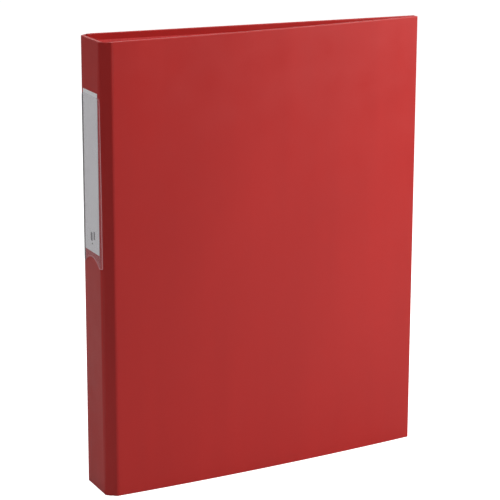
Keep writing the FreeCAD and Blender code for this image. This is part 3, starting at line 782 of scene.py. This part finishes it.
def label_film():
    """The clear pocket, open at the top and at the thumb notch."""
    columns = film_columns()
    outer_rows, inner_rows = [], []
    for row in range(FILM_ROWS):
        outer_row, inner_row = [], []
        for across in columns:
            z = film_height(row, across)
            out = film_out(across, z)
            outer_row.append(on_spine(across, out + FILM_THICKNESS, z))
            inner_row.append(on_spine(across, out, z))
        outer_rows.append(outer_row)
        inner_rows.append(inner_row)

    def kind(row, column):
        """0 for the clear film, 1 for its border, drawn pale pink as a painted highlight, 2 for a dark grey
        band along its back edge, painted shade.
        """
        middle = (columns[column] + columns[column + 1]) / 2
        if middle < WELD_FROM_EDGE - FILM_WIDTH / 2:
            return 2
        at_side = middle > FILM_WIDTH / 2 - FILM_RIM
        at_bottom = row < len(RIM_ROWS) - 1
        at_corner = row >= FILM_ROWS - len(RIM_ROWS) and abs(middle) > CARD_WIDTH / 2
        return 1 if at_side or at_bottom or at_corner else 0

    mesh = shell("label_film", outer_rows, inner_rows, kind)
    piece = new_piece("label_film", mesh, [FILM, FILM_PAINTED_HIGHLIGHT, FILM_PAINTED_SHADE])
    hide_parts("label_pocket")
    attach(piece, "spine")


# name, from and to across the card's middle, and from and to above its lower edge, in mm
BARS = (("back", -2.6, 0.5, 7.6, 13.4), ("front", 2.5, 4.9, 9.0, 14.6), ("lower", -0.6, 1.2, 5.2, 6.4))


def card_out(z, low, high):
    """The card's back: flat behind the film, with its ends curling out a little."""
    end = max(0.0, 1 - min(z - low, high - z) / CURL_LENGTH)
    return CARD_GAP + CARD_CURL * end ** 2


def card_sheet(name, span, levels, lift, thickness, made_of, low, high):
    """A sheet on the card: span is its sides across the spine, and levels are its heights."""
    outer_rows, inner_rows = [], []
    for z in levels:
        out = card_out(z, low, high) + lift
        outer_rows.append([on_spine(c, out + thickness, z) for c in span])
        inner_rows.append([on_spine(c, out, z) for c in span])
    piece = new_piece(name, shell(name, outer_rows, inner_rows), made_of)
    piece.data.set_sharp_from_angle(angle=CARD_SHARP)
    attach(piece, "label")
    return piece


def label():
    """The card, with three short grey bars where a printed mark would be."""
    low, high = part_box("label_card")
    half = CARD_WIDTH / 2
    levels = [low.z] + steps(low.z, high.z, 60) + [high.z]
    sides = (-half, 0.0, half)
    card = card_sheet("label_sheet", sides, levels, 0.0, CARD_THICKNESS, CARD, low.z, high.z)
    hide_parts("label_card")
    for name, left, right, bottom, top in BARS:
        levels = [low.z + z * MM for z in [bottom] + steps(bottom, top, 3) + [top]]
        card_sheet("label_mark_" + name, (left * MM, right * MM), levels, CARD_THICKNESS, PRINT_THICKNESS,
                   PRINT, low.z, high.z)


label_film()
label()


# ---------------------------------------------------------------- arch spring

def wire(name, points, radius, made_of):
    """A round wire along a list of points, as a mesh."""
    line = bpy.data.curves.new(name, "CURVE")
    line.dimensions = "3D"
    line.bevel_depth = radius
    line.bevel_resolution = 3
    line.use_fill_caps = True
    spline = line.splines.new("POLY")
    spline.points.add(len(points) - 1)
    for target, point in zip(spline.points, points):
        target.co = (*point, 1)
    drawn = bpy.data.objects.new(name + "_line", line)
    bpy.context.scene.collection.objects.link(drawn)
    mesh = bpy.data.meshes.new_from_object(drawn)
    bpy.data.objects.remove(drawn)
    for face in mesh.polygons:
        face.use_smooth = True
    mesh.materials.clear()
    return new_piece(name, mesh, made_of)


def arch_spring():
    """A torsion spring round the axle. One end rests on the base plate, and the other, a hook under the
    crank, turns with the arches."""
    axle = Vector(JOINTS["arch_opening"]["pos_m"])
    low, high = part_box("arch_spring")
    hook_z = low.z + SPRING_WIRE + SPRING_HOOK
    rest_z = high.z - SPRING_WIRE
    points = [(axle.x + SPRING_LEG, axle.y + SPRING_RADIUS, hook_z - SPRING_HOOK),
              (axle.x + SPRING_LEG, axle.y + SPRING_RADIUS, hook_z - SPRING_WIRE),
              (axle.x + SPRING_LEG - SPRING_WIRE, axle.y + SPRING_RADIUS, hook_z)]
    parts = POINTS_PER_TURN * SPRING_TURNS
    for i in range(parts + 1):
        turn = math.pi / 2 + 2 * math.pi * SPRING_TURNS * i / parts
        z = hook_z + (rest_z - hook_z) * i / parts
        points.append((axle.x + SPRING_RADIUS * math.cos(turn), axle.y + SPRING_RADIUS * math.sin(turn), z))
    points.append((axle.x - SPRING_RADIUS, axle.y + SPRING_RADIUS, rest_z))
    piece = wire("torsion_spring", points, SPRING_WIRE, SPRING_STEEL)
    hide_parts("arch_spring")
    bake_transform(piece)


arch_spring()


# ---------------------------------------------------------------- CAD nodes that stay

BEVELLED_ANGLE = math.radians(40)


def finish_node(name, made_of, bevel):
    """Gives a CAD node its material, and edges rounded by bevel."""
    piece = NODES[name]
    if not piece.data.materials:
        piece.data.materials.append(made_of)
    for slot in piece.material_slots:
        slot.material = made_of
    if bevel:
        edges = piece.modifiers.new("soft_edges", "BEVEL")
        edges.width = bevel
        edges.segments = 2
        edges.limit_method = "ANGLE"
        edges.angle_limit = BEVELLED_ANGLE


for node_name, made_of, bevel in (
        ("front_board", BOARD_GREY, 0), ("back_board", BOARD_GREY, 0),
        ("front_lining", LINING_PAPER_AND_PAINTED_LIGHT, 0), ("back_lining", LINING_PAPER_AND_PAINTED_LIGHT, 0),
        ("base_plate", SHEET_STEEL, 0.22),
        ("upper_fixed_post", NICKEL, 0.15), ("lower_fixed_post", NICKEL, 0.15),
        ("arch_wire", NICKEL, 0), ("lever", LEVER_STEEL, 0.22), ("lever_pin", ZINC, 0.15),
        ("roller", NYLON, 0.3), ("roller_pin", ZINC, 0), ("rivets", ZINC, 0),
        ("compressor_bar", SHEET_STEEL, 0.2), ("compressor_clips", CLIP_PLASTIC, 0.35)):
    finish_node(node_name, made_of, bevel * MM)


# ---------------------------------------------------------------- studio

AMBIENT = 0.11                # strength of the white surroundings as a source of light
FLOOR_SIZE = 12
FLOOR_GLOW = 0.95             # the light that falls on the floor adds the rest

# name, place, aim, size and watts
LIGHTS = (
    ("key_light", (0.74, -0.46, 0.62), (0.0, 0, 0.16), (0.5, 0.5), 10.5),
    ("fill_light", (-0.9, -0.1, 1.0), (-0.12, 0, 0.25), (0.5, 0.5), 4.2),
    ("rim_light", (0.15, 1.1, 1.1), (0, 0, 0.3), (1.2, 0.5), 7),
    ("top_light", (-0.05, -0.15, 1.5), (0, 0, 0.3), (0.7, 0.7), 4),
    ("spine_sheen_light", (-0.62, 1.05, 0.42), (-0.12, 0, 0.28), (0.4, 0.3), 0.5))

CAMERA_AZIMUTH = math.radians(-21.42)
CAMERA_ELEVATION = math.radians(14.82)
CAMERA_ROLL = math.radians(0.18)
CAMERA_AT = (-0.51591, -1.29376, 0.52795)
SENSOR_WIDTH = 36
CAMERA_LENS = 148.64


def area_light(name, at, aim, size, watts):
    """A soft rectangular light at a place, turned towards its aim."""
    light = bpy.data.lights.new(name, "AREA")
    light.shape = "RECTANGLE"
    light.size, light.size_y = size
    light.energy = watts
    made = bpy.data.objects.new(name, light)
    bpy.context.scene.collection.objects.link(made)
    made.location = at
    made.rotation_mode = "QUATERNION"
    made.rotation_quaternion = (Vector(aim) - Vector(at)).to_track_quat("-Z", "Y")


def seen_by_camera(tree):
    """1 for what the camera sees directly, and 0 for light that falls on something."""
    return tree.nodes.new("ShaderNodeLightPath").outputs["Is Camera Ray"]


def surroundings():
    """A white world, dimmer as a source of light than it looks."""
    world = bpy.data.worlds.new("studio")
    bpy.context.scene.world = world
    world.use_nodes = True
    tree = world.node_tree
    background = tree.nodes["Background"]
    background.inputs["Color"].default_value = (1, 1, 1, 1)
    brightness = remap(tree, seen_by_camera(tree), 0.0, 1.0, AMBIENT, 1.0)
    tree.links.new(brightness, background.inputs["Strength"])


def pale_floor():
    """A floor that looks nearly as white as the surroundings and still takes a faint shadow."""
    bpy.ops.mesh.primitive_plane_add(size=FLOOR_SIZE, location=(0, 0, 0))
    floor = bpy.context.object
    floor.name = "floor"
    made, tree, shader = material("pale_floor")
    shader.inputs["Base Color"].default_value = (0.6, 0.6, 0.6, 1)
    shader.inputs["Roughness"].default_value = 0.9
    shader.inputs["Emission Color"].default_value = (1, 1, 1, 1)
    glow = remap(tree, seen_by_camera(tree), 0.0, 1.0, 0.0, FLOOR_GLOW)
    tree.links.new(glow, shader.inputs["Emission Strength"])
    floor.data.materials.append(made)


def camera():
    """A long lens, to the left of the front cover and a little above it."""
    data = bpy.data.cameras.new("camera")
    data.sensor_width = SENSOR_WIDTH
    data.lens = CAMERA_LENS
    data.clip_end = 100
    made = bpy.data.objects.new("camera", data)
    bpy.context.scene.collection.objects.link(made)
    level = math.cos(CAMERA_ELEVATION)
    back = Vector((math.sin(CAMERA_AZIMUTH) * level, -math.cos(CAMERA_AZIMUTH) * level,
                   math.sin(CAMERA_ELEVATION)))
    made.location = CAMERA_AT
    made.rotation_mode = "QUATERNION"
    upright = (-back).to_track_quat("-Z", "Y")
    made.rotation_quaternion = upright @ Matrix.Rotation(CAMERA_ROLL, 3, "Z").to_quaternion()
    bpy.context.scene.camera = made


surroundings()
pale_floor()
for light_settings in LIGHTS:
    area_light(*light_settings)
camera()
bpy.context.scene.view_settings.view_transform = "Standard"
